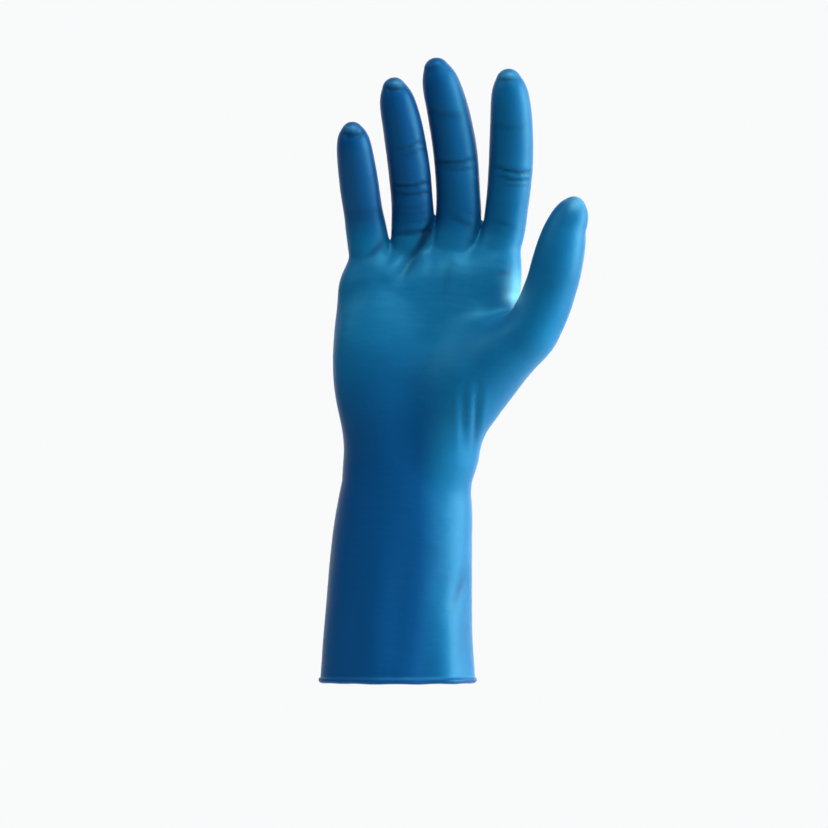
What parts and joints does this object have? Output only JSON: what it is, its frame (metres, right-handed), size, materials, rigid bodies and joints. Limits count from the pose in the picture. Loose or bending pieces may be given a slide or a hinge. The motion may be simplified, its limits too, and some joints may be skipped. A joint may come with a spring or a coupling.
{
  "type": "nitrile exam glove",
  "caption": "Thin blue nitrile exam glove with a long cuff, in the form it takes on an open right hand, with fingers and thumb spread and a rolled hem.",
  "frame": {"origin": "centre of the wrist, where the glove is narrowest and the wearer's wrist fills it", "axes": "+Z from the wrist towards the fingertips, -Y out of the palm, +X towards the thumb"},
  "size_m": [0.1298, 0.0655, 0.3027],
  "materials": {
    "nitrile": "satin blue nitrile film, smooth and slightly translucent, with a soft sheen"
  },
  "bodies": {
    "root": {"glove": "nitrile"}
  },
  "joints": []
}
